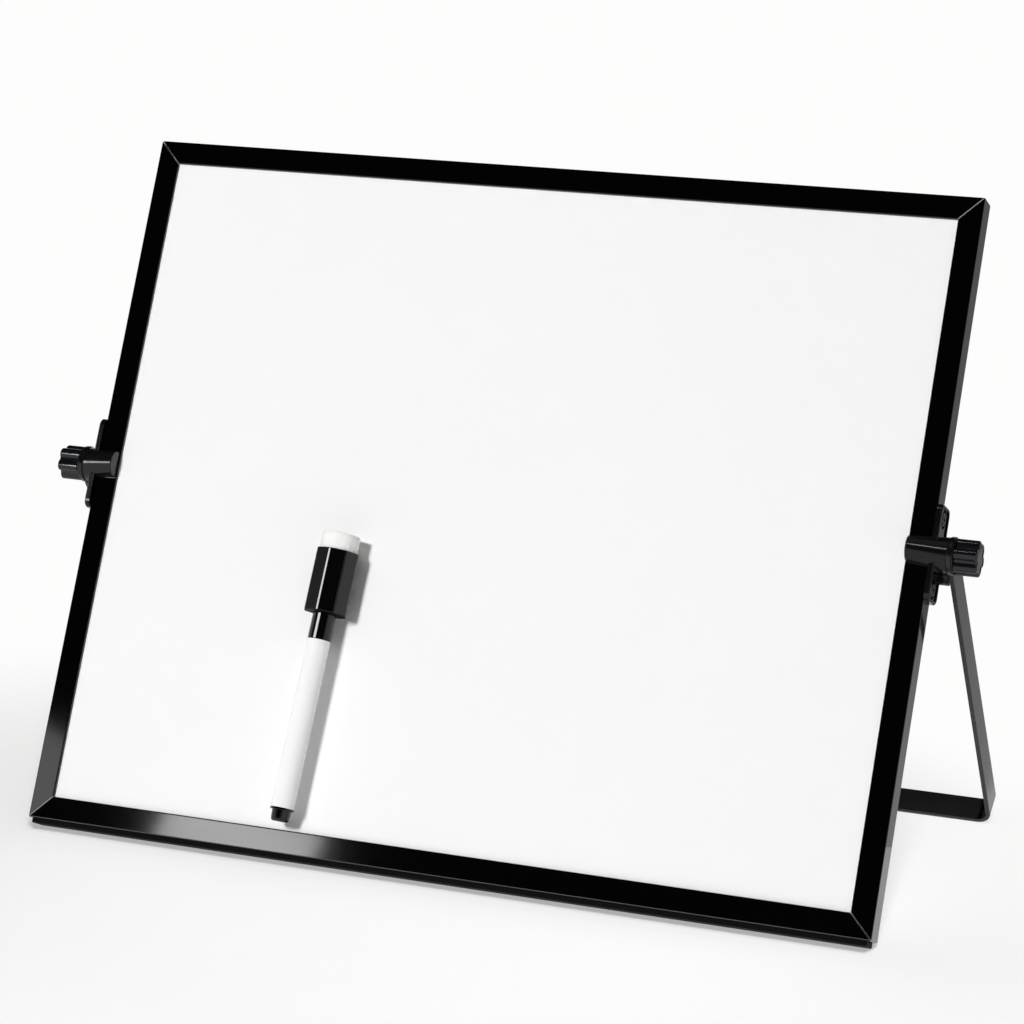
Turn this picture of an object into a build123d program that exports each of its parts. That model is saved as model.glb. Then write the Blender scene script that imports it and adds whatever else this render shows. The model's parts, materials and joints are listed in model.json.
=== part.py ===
from build123d import *
import os
from math import acos, atan2, cos, degrees, hypot, pi, radians, sin, sqrt

# Magnetic desk whiteboard: a framed steel-faced panel that turns between two knobs in a U-shaped stand,
# with a capped marker held on its face. Millimetres, X across the board, Y to the back, Z up.
# The origin is the centre of the space that the object covers, on the surface that it stands on.

# ---------------------------------------------------------------- driving sizes

# Board and its channel frame
BOARD_WIDTH = 343.2
BOARD_HEIGHT = 280.0
BOARD_LEAN = 27.8            # degrees back from upright
RAIL_FACE = 9.2              # width of a rail seen from the front
RAIL_DEPTH = 9.8
RAIL_WALL = 1.2
KEY_CHAMBER = 3.2            # hollow for the corner keys, behind the outer wall
RAIL_WEB = 0.9               # wall between the key chamber and the panel groove
RAIL_ROUND = 0.5             # rounding along the outer corners of a rail
MITRE_GAP = 0.2              # joint line between two rails
KEY_ARM = 30.0
KEY_PLAY = 0.1

# Panel: two coated steel sheets on a core
SHEET_THICKNESS = 0.4
PANEL_PLAY = 0.05            # panel to each lip of the groove
PANEL_EDGE_GAP = 0.5         # panel edge to the bottom of the groove

# Anti-slip strip under the lower rail
STRIP_THICKNESS = 2.0
STRIP_SIDE_INSET = 0.6
STRIP_END_INSET = 1.6
STRIP_ROUND = 0.5

# Side brackets, hubs and the fingers that clasp the frame
PIVOT_ABOVE_MIDDLE = 4.0
PLATE_LENGTH = 36.6
PLATE_WIDTH = 13.2           # deeper than the frame, so it stands proud of both faces
PLATE_THICKNESS = 2.2
PLATE_CORNER = 3.0
PLATE_RIM = 0.8
PLATE_RECESS = 0.5
PLATE_EDGE = 0.4             # chamfer round the outer face
HUB_RADIUS = 6.9
HUB_REACH = 5.9              # frame side to the hub's outer face
FINGER_REACH = 8.6           # how far a finger comes in over the frame's face
FINGER_TIP_RADIUS = 5.0
FINGER_TIP_OUT = 1.5         # centre of the finger's end, out from the frame's face
FINGER_EDGE = 0.4
FINGER_PLAY = 0.05
LUG_RADIUS = 3.7             # small stop lug low on the rear of the hub
LUG_BELOW = 6.5
LUG_BEHIND = 5.0

# Bracket screws and their slots
SCREW_SPACING = 26.6
SCREW_HEAD_RADIUS = 2.7
SCREW_HEAD_HEIGHT = 1.1
SCREW_RADIUS = 1.25
SCREW_LENGTH = 4.4
SCREW_POINT = 0.9
SCREW_FIT = 0.03
SCREW_CROSS = 0.7            # width and depth of the cross in the head
SCREW_CROSS_SPAN = 3.2
HEAD_PLAY = 0.3
SLOT_TRAVEL = 1.3            # height adjustment that a slot allows
SLOT_SINK = 1.4              # depth of the slot for the head

# Clamping knobs, studs, inserts and washers
STUD_RADIUS = 2.0
STUD_FIT = 0.06              # running clearance of the stud in bores and thread
STUD_ENGAGEMENT = 4.6
STUD_HEAD_FLATS = 7.0
STUD_HEAD_HEIGHT = 2.8
STUD_POINT = 0.4
INSERT_RADIUS = 3.2
INSERT_LENGTH = 4.6
INSERT_SINK = 0.1
MOULDED_FIT = 0.02           # between a moulding and the metal held in it
INNER_WASHER = 0.3
OUTER_WASHER = 0.5
WASHER_RADIUS = 6.8
WASHER_BORE_PLAY = 0.3
AXIAL_PLAY = 0.05            # between faces that turn on each other
KNOB_LENGTH = 9.0
KNOB_RADIUS = 6.95
KNOB_CORE_RADIUS = 5.4
KNOB_LOBES = 6
KNOB_LOBE_RADIUS = 2.25
KNOB_EDGE = 0.5
KNOB_END_WALL = 2.2
LEFT_KNOB_TURN = 30.0        # degrees that the left knob is turned further than the right one

# U-shaped stand of flat bar
BAR_WIDTH = 10.8
BAR_THICKNESS = 1.8
BAR_BEND_RADIUS = 6.0        # outside of the bends
BAR_EDGE = 0.35
EYE_RADIUS = 7.3
SWING_CLEARANCE = 3.0        # between the board's far corner and the foot bar as the board turns over

# Marker
MARKER_FROM_LEFT = 100.7     # frame's inner edge to the marker's axis at its lower end
MARKER_ABOVE_RAIL = 2.2      # lower rail's inner edge to the marker's lower end
MARKER_TILT = 2.0            # degrees to the right of straight up the board
MARKER_PLAY = 0.05
PLUG_LENGTH = 4.4
PLUG_RADIUS = 3.8
PLUG_ROUND = 0.8
PLUG_FLANGE = 0.8
PLUG_FLANGE_RADIUS = 4.65
PLUG_SPIGOT = 4.0
BARREL_LENGTH = 66.0
BARREL_RADIUS = 4.5
BARREL_WALL = 0.8
HOLDER_SPIGOT = 6.0
HOLDER_NOSE = 10.5
HOLDER_NOSE_RADIUS = 3.55
HOLDER_TIP = 6.0
HOLDER_TIP_RADIUS = 2.4
NIB_RADIUS = 1.5
NIB_ROUND = 1.3
NIB_OUT = 4.0
NIB_LENGTH = 22.0
RESERVOIR_RADIUS = 3.3
CAP_NECK_LENGTH = 10.5
CAP_WALL = 0.9
CAP_FLATS = 16.2             # across the flats of the eight-sided part
CAP_LENGTH = 24.7
CAP_EDGE = 0.6
CAP_PLAY = 0.08              # running clearance of the cap on the nose
CAP_BORE_END = 1.0           # free room past the nib
MAGNET_RADIUS = 5.0
MAGNET_THICKNESS = 3.0
ERASER_FLATS = 14.6
ERASER_HEIGHT = 6.7
ERASER_EDGE = 0.8
MARKER_FIT = 0.02            # between pushed-together pieces of the marker

# ---------------------------------------------------------------- sizes that follow

HALF_WIDTH = BOARD_WIDTH / 2
HALF_DEPTH = RAIL_DEPTH / 2
PIVOT_HEIGHT = BOARD_HEIGHT / 2 + PIVOT_ABOVE_MIDDLE
BOARD_BOTTOM = -PIVOT_HEIGHT
BOARD_TOP = BOARD_HEIGHT - PIVOT_HEIGHT
STRIP_BOTTOM = BOARD_BOTTOM - STRIP_THICKNESS
CHAMBER_DEPTH = RAIL_DEPTH - 2 * RAIL_WALL
GROOVE_START = RAIL_WALL + KEY_CHAMBER + RAIL_WEB
GROOVE_DEPTH = RAIL_FACE - GROOVE_START
PANEL_THICKNESS = CHAMBER_DEPTH - 2 * PANEL_PLAY
CORE_THICKNESS = PANEL_THICKNESS - 2 * SHEET_THICKNESS
PANEL_INSET = GROOVE_START + PANEL_EDGE_GAP
PANEL_FACE = -PANEL_THICKNESS / 2

LEG_INSIDE = HALF_WIDTH + HUB_REACH + AXIAL_PLAY + INNER_WASHER
LEG_OUTSIDE = LEG_INSIDE + BAR_THICKNESS
KNOB_INSIDE = LEG_OUTSIDE + OUTER_WASHER + AXIAL_PLAY
KNOB_OUTSIDE = KNOB_INSIDE + KNOB_LENGTH
BORE_RADIUS = STUD_RADIUS + STUD_FIT

# The foot bar passes outside the corner of the board that is furthest from the pivot.
FAR_EDGE = max(BOARD_TOP, -STRIP_BOTTOM)
LEG_LENGTH = hypot(FAR_EDGE, HALF_DEPTH) + SWING_CLEARANCE + BAR_THICKNESS

# The lower rear edge of the strip and the front edge of the foot bar stand on the same surface.
LEAN = radians(BOARD_LEAN)
PIVOT_UP = (HALF_DEPTH - STRIP_SIDE_INSET) * sin(LEAN) - STRIP_BOTTOM * cos(LEAN)
FOOT_REACH = hypot(LEG_LENGTH, BAR_WIDTH / 2)
STAND_LEAN = degrees(acos(PIVOT_UP / FOOT_REACH) + atan2(BAR_WIDTH / 2, LEG_LENGTH))

# The pieces of the board and the stand are drawn about the pivot's centre, with Z along the board or the leg.
BOARD_PLACE = Location((0, 0, PIVOT_UP), (-BOARD_LEAN, 0, 0))
STAND_PLACE = Location((0, 0, PIVOT_UP), (STAND_LEAN, 0, 0))

board_parts = {}
stand_parts = {}


def across(x, y=0.0, z=0.0):
    """Plane square to X, with its own X along Y and its own Y along Z."""
    return Plane(origin=(x, y, z), x_dir=(0, 1, 0), z_dir=(1, 0, 0))


def disc(radius, x_from, x_to, y=0.0, z=0.0):
    """Cylinder along X between two stations."""
    return extrude(across(x_from, y, z) * Circle(radius), x_to - x_from)


def slab(width, height, x_from, x_to, corner, z=0.0):
    """Plate square to X with rounded corners: width along Y, height along Z."""
    outline = RectangleRounded(width, height, corner)
    return extrude(across(x_from, 0, z) * outline, x_to - x_from)


def left_of(piece):
    """The matching piece on the left side."""
    return mirror(piece, about=Plane.YZ)


# ---------------------------------------------------------------- frame


def rail_bar(length):
    """Hollow channel along X: outer edge at Z 0, panel groove open at Z RAIL_FACE."""
    body = Pos(0, RAIL_FACE / 2) * RectangleRounded(RAIL_DEPTH, RAIL_FACE, RAIL_ROUND)
    chamber = Pos(0, RAIL_WALL + KEY_CHAMBER / 2) * Rectangle(CHAMBER_DEPTH, KEY_CHAMBER)
    groove = Pos(0, GROOVE_START + GROOVE_DEPTH) * Rectangle(CHAMBER_DEPTH, 2 * GROOVE_DEPTH)
    return extrude(across(-length / 2) * (body - chamber - groove), length)


def mitred_rail(length):
    """Rail with its ends cut at 45 degrees, half a joint line short of the corner on each side."""
    half = length / 2 - MITRE_GAP / sqrt(2)
    corners = [(-half, 0), (half, 0), (half - RAIL_FACE, RAIL_FACE), (RAIL_FACE - half, RAIL_FACE)]
    keep = extrude(Plane.XZ * make_face(Polyline(corners, close=True)), RAIL_DEPTH, both=True)
    return rail_bar(length) & keep


def pilot_holes(side):
    """Holes for the two bracket screws, through the outer wall of a side rail."""
    start = side * (HALF_WIDTH - 2 * RAIL_WALL)
    end = side * (HALF_WIDTH + RAIL_WALL)
    radius = SCREW_RADIUS + SCREW_FIT
    return [disc(radius, start, end, z=z) for z in (-SCREW_SPACING / 2, SCREW_SPACING / 2)]


board_parts["frame_bottom_rail"] = Pos(0, 0, BOARD_BOTTOM) * mitred_rail(BOARD_WIDTH)
board_parts["frame_top_rail"] = Pos(0, 0, BOARD_TOP) * Rot(0, 180, 0) * mitred_rail(BOARD_WIDTH)
side_rail = mitred_rail(BOARD_HEIGHT)
for name, side in (("frame_left_rail", -1), ("frame_right_rail", 1)):
    place = Pos(side * HALF_WIDTH, 0, BOARD_TOP - BOARD_HEIGHT / 2) * Rot(0, -side * 90, 0)
    board_parts[name] = place * side_rail - pilot_holes(side)


def corner_key():
    """L-shaped key for the lower left corner, its corner at the origin of the two rails' outer edges."""
    start = RAIL_WALL + KEY_PLAY
    width = KEY_CHAMBER - 2 * KEY_PLAY
    inner = start + width
    outline = [
        (start, start),
        (start + KEY_ARM, start),
        (start + KEY_ARM, inner),
        (inner, inner),
        (inner, start + KEY_ARM),
        (start, start + KEY_ARM),
    ]
    depth = CHAMBER_DEPTH - 2 * KEY_PLAY
    return extrude(Plane.XZ * make_face(Polyline(outline, close=True)), depth / 2, both=True)


lower_left_key = Pos(-HALF_WIDTH, 0, BOARD_BOTTOM) * corner_key()
upper_left_key = Pos(-HALF_WIDTH, 0, BOARD_TOP) * Rot(0, 90, 0) * corner_key()
board_parts["corner_key_bottom_left"] = lower_left_key
board_parts["corner_key_bottom_right"] = left_of(lower_left_key)
board_parts["corner_key_top_left"] = upper_left_key
board_parts["corner_key_top_right"] = left_of(upper_left_key)

# ---------------------------------------------------------------- panel


def panel_layer(thickness, front):
    """One layer of the panel, its front face at Y front."""
    width = BOARD_WIDTH - 2 * PANEL_INSET
    height = BOARD_HEIGHT - 2 * PANEL_INSET
    middle = (BOARD_TOP + BOARD_BOTTOM) / 2
    return Pos(0, front + thickness / 2, middle) * Box(width, thickness, height)


board_parts["front_writing_sheet"] = panel_layer(SHEET_THICKNESS, PANEL_FACE)
board_parts["panel_core"] = panel_layer(CORE_THICKNESS, PANEL_FACE + SHEET_THICKNESS)
board_parts["rear_writing_sheet"] = panel_layer(SHEET_THICKNESS, -PANEL_FACE - SHEET_THICKNESS)

# ---------------------------------------------------------------- anti-slip strip

strip_width = RAIL_DEPTH - 2 * STRIP_SIDE_INSET
strip_length = BOARD_WIDTH - 2 * STRIP_END_INSET
strip = Pos(0, 0, BOARD_BOTTOM - STRIP_THICKNESS / 2) * Box(strip_length, strip_width, STRIP_THICKNESS)
strip_ends = strip.edges().filter_by(Axis.Y).group_by(Axis.Z)[0]
board_parts["anti_slip_strip"] = fillet(strip_ends, STRIP_ROUND)

# ---------------------------------------------------------------- brackets


def finger():
    """Front finger: a cone from the hub that narrows as it comes in over the frame's front face."""
    root = across(HALF_WIDTH + HUB_REACH) * Circle(HUB_RADIUS)
    tip = across(HALF_WIDTH - FINGER_REACH, -HALF_DEPTH - FINGER_TIP_OUT) * Circle(FINGER_TIP_RADIUS)
    cone = loft([tip.face(), root.face()])
    return fillet(cone.edges().group_by(Axis.X)[0], FINGER_EDGE)


def frame_clearance():
    """The room that the side rail takes between the two fingers."""
    width = 2 * FINGER_REACH
    depth = RAIL_DEPTH + 2 * FINGER_PLAY
    return Pos(HALF_WIDTH - FINGER_REACH, 0, 0) * Box(width, depth, PLATE_LENGTH)


def slot(width, height, x_from, x_to, z):
    """Upright slot with round ends, cut square to X."""
    return extrude(across(x_from, 0, z) * (Rot(0, 0, 90) * SlotOverall(height, width)), x_to - x_from)


def bracket():
    """Right bracket: side plate, hub, two fingers and a lug, with its slots and insert pocket cut."""
    outside = HALF_WIDTH + PLATE_THICKNESS
    plate = slab(PLATE_WIDTH, PLATE_LENGTH, HALF_WIDTH, outside, PLATE_CORNER)
    plate = chamfer(plate.edges().group_by(Axis.X)[-1], PLATE_EDGE)
    recess = slab(
        PLATE_WIDTH - 2 * (PLATE_EDGE + PLATE_RIM),
        PLATE_LENGTH - 2 * (PLATE_EDGE + PLATE_RIM),
        outside - PLATE_RECESS,
        outside,
        PLATE_CORNER - PLATE_RIM,
    )
    body = plate - recess
    for z in (-SCREW_SPACING / 2, SCREW_SPACING / 2):
        head_width = 2 * (SCREW_HEAD_RADIUS + HEAD_PLAY)
        shank_width = 2 * (SCREW_RADIUS + HEAD_PLAY)
        body -= slot(head_width, head_width + SLOT_TRAVEL, outside - SLOT_SINK, outside, z)
        body -= slot(shank_width, shank_width + SLOT_TRAVEL, HALF_WIDTH, outside, z)
    hub_face = HALF_WIDTH + HUB_REACH
    hub = disc(HUB_RADIUS, HALF_WIDTH, hub_face)
    lug = disc(LUG_RADIUS, HALF_WIDTH, hub_face, LUG_BEHIND, -LUG_BELOW)
    front = finger()
    body = body + hub + lug + front + mirror(front, about=Plane.XZ)
    body -= frame_clearance()
    pocket = disc(INSERT_RADIUS + MOULDED_FIT, hub_face - INSERT_LENGTH - INSERT_SINK, hub_face)
    return body - pocket


def threaded_insert():
    """Brass insert in the hub, its thread drawn as a plain bore."""
    outer = HALF_WIDTH + HUB_REACH - INSERT_SINK
    inner = outer - INSERT_LENGTH + MOULDED_FIT
    return disc(INSERT_RADIUS, inner, outer) - disc(BORE_RADIUS, inner, outer)


def bracket_screws():
    """Two cross-headed screws, from the bottom of the slots into the side rail."""
    seat = HALF_WIDTH + PLATE_THICKNESS - SLOT_SINK
    top = seat + SCREW_HEAD_HEIGHT
    straight_end = seat - SCREW_LENGTH + SCREW_POINT
    screws = Part()
    for z in (-SCREW_SPACING / 2, SCREW_SPACING / 2):
        head = disc(SCREW_HEAD_RADIUS, seat, top, z=z)
        head = fillet(head.edges().group_by(Axis.X)[-1], SCREW_HEAD_HEIGHT / 2)
        shank = disc(SCREW_RADIUS, straight_end, seat, z=z)
        shank = chamfer(shank.edges().group_by(Axis.X)[0], SCREW_POINT / 2)
        blade = Box(SCREW_CROSS, SCREW_CROSS, SCREW_CROSS_SPAN)
        cross = blade + Rot(90, 0, 0) * blade
        screws += head + shank - Pos(top - SCREW_CROSS / 2, 0, z) * cross
    return screws


right_side = {
    "bracket": bracket(),
    "bracket_screws": bracket_screws(),
    "threaded_insert": threaded_insert(),
}
for name, piece in right_side.items():
    board_parts["right_" + name] = piece
    board_parts["left_" + name] = left_of(piece)

# ---------------------------------------------------------------- knobs


def knob():
    """Fluted knob with six lobes, moulded round the head of its stud."""
    lobe_centre = KNOB_RADIUS - KNOB_LOBE_RADIUS
    outline = Circle(KNOB_CORE_RADIUS) + PolarLocations(lobe_centre, KNOB_LOBES) * Circle(KNOB_LOBE_RADIUS)
    body = extrude(across(KNOB_INSIDE) * outline, KNOB_LENGTH)
    body = chamfer(body.edges().group_by(Axis.X)[-1], KNOB_EDGE)
    head_end = KNOB_OUTSIDE - KNOB_END_WALL
    head = extrude(
        across(head_end - STUD_HEAD_HEIGHT - MOULDED_FIT)
        * RegularPolygon(STUD_HEAD_FLATS / 2 + MOULDED_FIT, 6, major_radius=False),
        STUD_HEAD_HEIGHT + 2 * MOULDED_FIT,
    )
    return body - head - disc(STUD_RADIUS + MOULDED_FIT, KNOB_INSIDE, head_end - STUD_HEAD_HEIGHT)


def knob_stud():
    """Stud with a hexagonal head inside the knob, screwed into the bracket's insert."""
    head_end = KNOB_OUTSIDE - KNOB_END_WALL
    head_start = head_end - STUD_HEAD_HEIGHT
    tip = HALF_WIDTH + HUB_REACH - STUD_ENGAGEMENT
    hexagon = RegularPolygon(STUD_HEAD_FLATS / 2, 6, major_radius=False)
    head = extrude(across(head_start) * hexagon, STUD_HEAD_HEIGHT)
    shank = disc(STUD_RADIUS, tip, head_start)
    return head + chamfer(shank.edges().group_by(Axis.X)[0], STUD_POINT)


for name, piece in (("knob", knob()), ("knob_stud", knob_stud())):
    board_parts["right_" + name] = piece
    board_parts["left_" + name] = left_of(Rot(LEFT_KNOB_TURN, 0, 0) * piece)

# ---------------------------------------------------------------- stand


def stand_band(half_width, bottom, bend):
    """The area inside a U, from the pivot's height down to the foot."""
    height = -bottom
    outline = Pos(0, bottom + height / 2) * Rectangle(2 * half_width, height)
    corners = outline.vertices().group_by(Axis.Y)[0]
    return fillet(corners, bend)


def u_stand_bar():
    """Flat bar bent to a U, with a round eye for the stud at the top of each leg."""
    outer = stand_band(LEG_OUTSIDE, -LEG_LENGTH, BAR_BEND_RADIUS)
    inner = stand_band(LEG_INSIDE, BAR_THICKNESS - LEG_LENGTH, BAR_BEND_RADIUS - BAR_THICKNESS)
    bar = extrude(Plane.XZ * (outer - inner), BAR_WIDTH / 2, both=True)
    for side in (-1, 1):
        inside, outside = side * LEG_INSIDE, side * LEG_OUTSIDE
        bar += disc(EYE_RADIUS, inside, outside)
        bar -= disc(BORE_RADIUS, inside, outside)
    return bar


def washer(thickness, start):
    """Round washer on the stud."""
    end = start + thickness
    return disc(WASHER_RADIUS, start, end) - disc(STUD_RADIUS + WASHER_BORE_PLAY, start, end)


stand_parts["u_stand_bar"] = u_stand_bar()
stand_parts["right_inner_washer"] = washer(INNER_WASHER, LEG_INSIDE - INNER_WASHER)
stand_parts["right_outer_washer"] = washer(OUTER_WASHER, LEG_OUTSIDE)
for layer in ("inner_washer", "outer_washer"):
    stand_parts["left_" + layer] = left_of(stand_parts["right_" + layer])

# ---------------------------------------------------------------- marker

# Heights along the marker, from the end plug to the eraser
BARREL_START = PLUG_LENGTH + PLUG_FLANGE
BARREL_END = BARREL_START + BARREL_LENGTH
CAP_START = BARREL_END + MARKER_FIT
CAP_SHOULDER = CAP_START + CAP_NECK_LENGTH
CAP_END = CAP_SHOULDER + CAP_LENGTH
HOLDER_END = BARREL_END + HOLDER_NOSE + HOLDER_TIP
NIB_END = HOLDER_END + NIB_OUT
BARREL_BORE = BARREL_RADIUS - BARREL_WALL
MAGNET_START = CAP_END - MAGNET_THICKNESS
CAP_BORE = HOLDER_NOSE_RADIUS + CAP_PLAY
CAP_NECK_RADIUS = CAP_BORE + CAP_WALL
CORNER_STRETCH = 1 / cos(pi / 8)        # distance of an eight-sided outline's corners, in that of its flats
CAP_CORNER = CAP_FLATS / 2 * CORNER_STRETCH - CAP_EDGE * (CORNER_STRETCH - 1)


def octagon(flats):
    """Eight-sided outline with one corner towards the panel."""
    return RegularPolygon(flats / 2, 8, major_radius=False)


def turned(radius, z_from, z_to):
    """Plain round stretch of the marker."""
    return Pos(0, 0, z_from) * extrude(Circle(radius), z_to - z_from)


def marker_barrel():
    tube = turned(BARREL_RADIUS, BARREL_START, BARREL_END)
    return tube - turned(BARREL_BORE, BARREL_START, BARREL_END)


def marker_end_plug():
    body = turned(PLUG_RADIUS, 0, PLUG_LENGTH)
    body = fillet(body.edges().group_by(Axis.Z)[0], PLUG_ROUND)
    flange = turned(PLUG_FLANGE_RADIUS, PLUG_LENGTH, BARREL_START)
    spigot = turned(BARREL_BORE - MARKER_FIT, BARREL_START, BARREL_START + PLUG_SPIGOT)
    return body + flange + spigot


def nib_holder():
    """Collar in the barrel and the nose that carries the cap and the nib."""
    spigot = turned(BARREL_BORE - MARKER_FIT, BARREL_END - HOLDER_SPIGOT, BARREL_END)
    nose = turned(HOLDER_NOSE_RADIUS, BARREL_END, BARREL_END + HOLDER_NOSE)
    tip = Pos(0, 0, BARREL_END + HOLDER_NOSE + HOLDER_TIP / 2) * Cone(
        HOLDER_NOSE_RADIUS, HOLDER_TIP_RADIUS, HOLDER_TIP
    )
    bore = turned(NIB_RADIUS + MARKER_FIT, BARREL_END - HOLDER_SPIGOT, HOLDER_END)
    return spigot + nose + tip - bore


def marker_nib():
    """Round-ended felt nib that reaches back into the ink reservoir."""
    nib = turned(NIB_RADIUS, NIB_END - NIB_LENGTH, NIB_END)
    return fillet(nib.edges().group_by(Axis.Z)[-1], NIB_ROUND)


def ink_reservoir():
    """Fibre rod between the plug and the holder, with a seat for the nib's rear end."""
    start = BARREL_START + PLUG_SPIGOT + MARKER_FIT
    end = BARREL_END - HOLDER_SPIGOT - MARKER_FIT
    rod = turned(RESERVOIR_RADIUS, start, end)
    seat_start = min(NIB_END - NIB_LENGTH, end) - MARKER_FIT
    return rod - turned(NIB_RADIUS + MARKER_FIT, seat_start, end)


def marker_cap():
    """Round neck and wide eight-sided grip, bored for the nose and pocketed for the magnet."""
    neck = turned(CAP_NECK_RADIUS, CAP_START, CAP_SHOULDER)
    grip = Pos(0, 0, CAP_SHOULDER) * extrude(octagon(CAP_FLATS), CAP_LENGTH)
    grip = fillet(grip.edges().filter_by(Axis.Z), CAP_EDGE)
    grip = chamfer(grip.edges().group_by(Axis.Z)[0], CAP_EDGE)
    bore = turned(CAP_BORE, CAP_START, NIB_END + CAP_BORE_END)
    pocket = turned(MAGNET_RADIUS + MARKER_FIT, MAGNET_START - MARKER_FIT, CAP_END)
    return neck + grip - bore - pocket


def cap_magnet():
    return turned(MAGNET_RADIUS, MAGNET_START, CAP_END)


def felt_eraser():
    block = Pos(0, 0, CAP_END) * extrude(octagon(ERASER_FLATS), ERASER_HEIGHT)
    return fillet(block.edges().group_by(Axis.Z)[-1], ERASER_EDGE)


marker_place = Location(
    (
        -HALF_WIDTH + RAIL_FACE + MARKER_FROM_LEFT,
        PANEL_FACE - MARKER_PLAY - CAP_CORNER,
        BOARD_BOTTOM + RAIL_FACE + MARKER_ABOVE_RAIL,
    ),
    (0, MARKER_TILT, 0),
)
marker_parts = {
    "marker_barrel": marker_barrel(),
    "marker_end_plug": marker_end_plug(),
    "nib_holder": nib_holder(),
    "marker_nib": marker_nib(),
    "ink_reservoir": ink_reservoir(),
    "marker_cap": marker_cap(),
    "cap_magnet": cap_magnet(),
    "felt_eraser": felt_eraser(),
}
for name, piece in marker_parts.items():
    board_parts[name] = marker_place * piece

# ---------------------------------------------------------------- placing and writing

placed = {name: BOARD_PLACE * piece for name, piece in board_parts.items()}
placed.update({name: STAND_PLACE * piece for name, piece in stand_parts.items()})
front = min(piece.bounding_box().min.Y for piece in placed.values())
back = max(piece.bounding_box().max.Y for piece in placed.values())
to_origin = Pos(0, -(front + back) / 2, 0)
os.makedirs("parts", exist_ok=True)
for name, piece in placed.items():
    export_step(to_origin * piece, f"parts/{name}.step")

pivot = (to_origin * BOARD_PLACE).position
print("pivot", round(pivot.Y, 3), round(pivot.Z, 3), "stand lean", round(STAND_LEAN, 3))
print("depth", round(back - front, 3))
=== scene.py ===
import json
from math import cos, pi, radians, sin, sqrt

import bmesh
import bpy
from mathutils import Euler, Matrix, Vector

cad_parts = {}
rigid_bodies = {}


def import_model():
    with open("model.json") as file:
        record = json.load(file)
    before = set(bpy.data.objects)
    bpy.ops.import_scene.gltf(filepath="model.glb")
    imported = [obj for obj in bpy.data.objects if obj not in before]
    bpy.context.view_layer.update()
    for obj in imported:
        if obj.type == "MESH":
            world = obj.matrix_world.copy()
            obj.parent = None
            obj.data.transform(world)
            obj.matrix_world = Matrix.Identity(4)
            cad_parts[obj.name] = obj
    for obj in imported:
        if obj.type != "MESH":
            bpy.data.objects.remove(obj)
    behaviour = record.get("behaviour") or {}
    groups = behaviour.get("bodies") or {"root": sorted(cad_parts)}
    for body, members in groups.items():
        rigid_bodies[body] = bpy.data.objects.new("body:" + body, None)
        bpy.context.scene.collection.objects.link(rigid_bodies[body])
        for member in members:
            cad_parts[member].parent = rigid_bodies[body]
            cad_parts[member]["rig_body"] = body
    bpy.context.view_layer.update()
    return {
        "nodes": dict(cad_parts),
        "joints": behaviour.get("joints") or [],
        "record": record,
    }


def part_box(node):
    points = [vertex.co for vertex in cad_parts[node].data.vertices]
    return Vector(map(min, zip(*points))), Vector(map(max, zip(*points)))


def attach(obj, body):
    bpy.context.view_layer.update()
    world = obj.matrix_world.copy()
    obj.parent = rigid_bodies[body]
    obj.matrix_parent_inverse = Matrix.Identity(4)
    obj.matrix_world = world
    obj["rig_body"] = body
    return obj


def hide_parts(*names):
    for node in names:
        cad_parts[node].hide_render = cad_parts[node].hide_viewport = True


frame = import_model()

MM = 0.001

# ---------------------------------------------------------------- places, from the frame

JOINTS = {joint["name"]: joint for joint in frame["joints"]}
SLOTS = {part["node"]: part["material_slot"] for part in frame["record"]["subparts"]}
PIVOT = Vector(JOINTS["board_tilt"]["pos_m"])
ACROSS = Vector((1, 0, 0))
OUT_OF_FACE = Vector(JOINTS["marker_off_board"]["axis"])
ALONG_MARKER = Vector(JOINTS["cap_off_marker"]["axis"])


def axes_at(origin, x_axis, y_axis, z_axis):
    """Matrix that carries a piece from its own axes to the frame."""
    matrix = Matrix((x_axis, y_axis, z_axis)).transposed().to_4x4()
    matrix.translation = origin
    return matrix


# Board axes: X across, Y out of the back, Z up the board, from the pivot's centre
INTO_BOARD = -OUT_OF_FACE
UP_BOARD = ACROSS.cross(INTO_BOARD)
BOARD = axes_at(PIVOT, ACROSS, INTO_BOARD, UP_BOARD)


def middle(node):
    low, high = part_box(node)
    return (low + high) / 2


# Marker's own sizes, from its end plug upwards
PLUG_LENGTH = 4.4 * MM
PLUG_RADIUS = 3.8 * MM
FLANGE_THICKNESS = 0.8 * MM
FLANGE_RADIUS = 4.65 * MM
BARREL_LENGTH = 66.0 * MM
BARREL_RADIUS = 4.5 * MM
BARREL_WALL = 0.8 * MM
BARREL_START = PLUG_LENGTH + FLANGE_THICKNESS
BARREL_END = BARREL_START + BARREL_LENGTH
NECK_LENGTH = 10.5 * MM
NECK_RADIUS = 4.53 * MM
CAP_BORE = 3.63 * MM
CAP_BORE_DEPTH = 21.5 * MM
CAP_OVERLAP = 1.0 * MM        # how far the neck runs into the grip, and the cutters past their ends
CAP_CORNER = 0.36 * MM
CAP_RIM = 0.3 * MM
CAP_NECK_EASE = 0.2 * MM
GRIP_LENGTH = 24.7 * MM
GRIP_FLATS = 16.2 * MM
MAGNET_RADIUS = 5.0 * MM
MAGNET_THICKNESS = 3.0 * MM
ERASER_FLATS = 14.6 * MM
ERASER_HEIGHT = 6.7 * MM
ERASER_CORNER = 2.2 * MM
ERASER_RIM = 0.6 * MM
ERASER_STILL = 0.4 * MM       # height of the felt next to the cap that stays even
ERASER_NAP = 0.09 * MM
BARREL_EASE = 0.15 * MM
PLUG_ROUND = 1.1 * MM
PLUG_INSERT = 4 * MM          # length of the plug inside the barrel
FLANGE_EDGE = 0.1 * MM        # chamfer towards the plug
FLANGE_BACK_EDGE = 0.05 * MM  # chamfer towards the barrel
JOINT_LINE = 0.02 * MM
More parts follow.
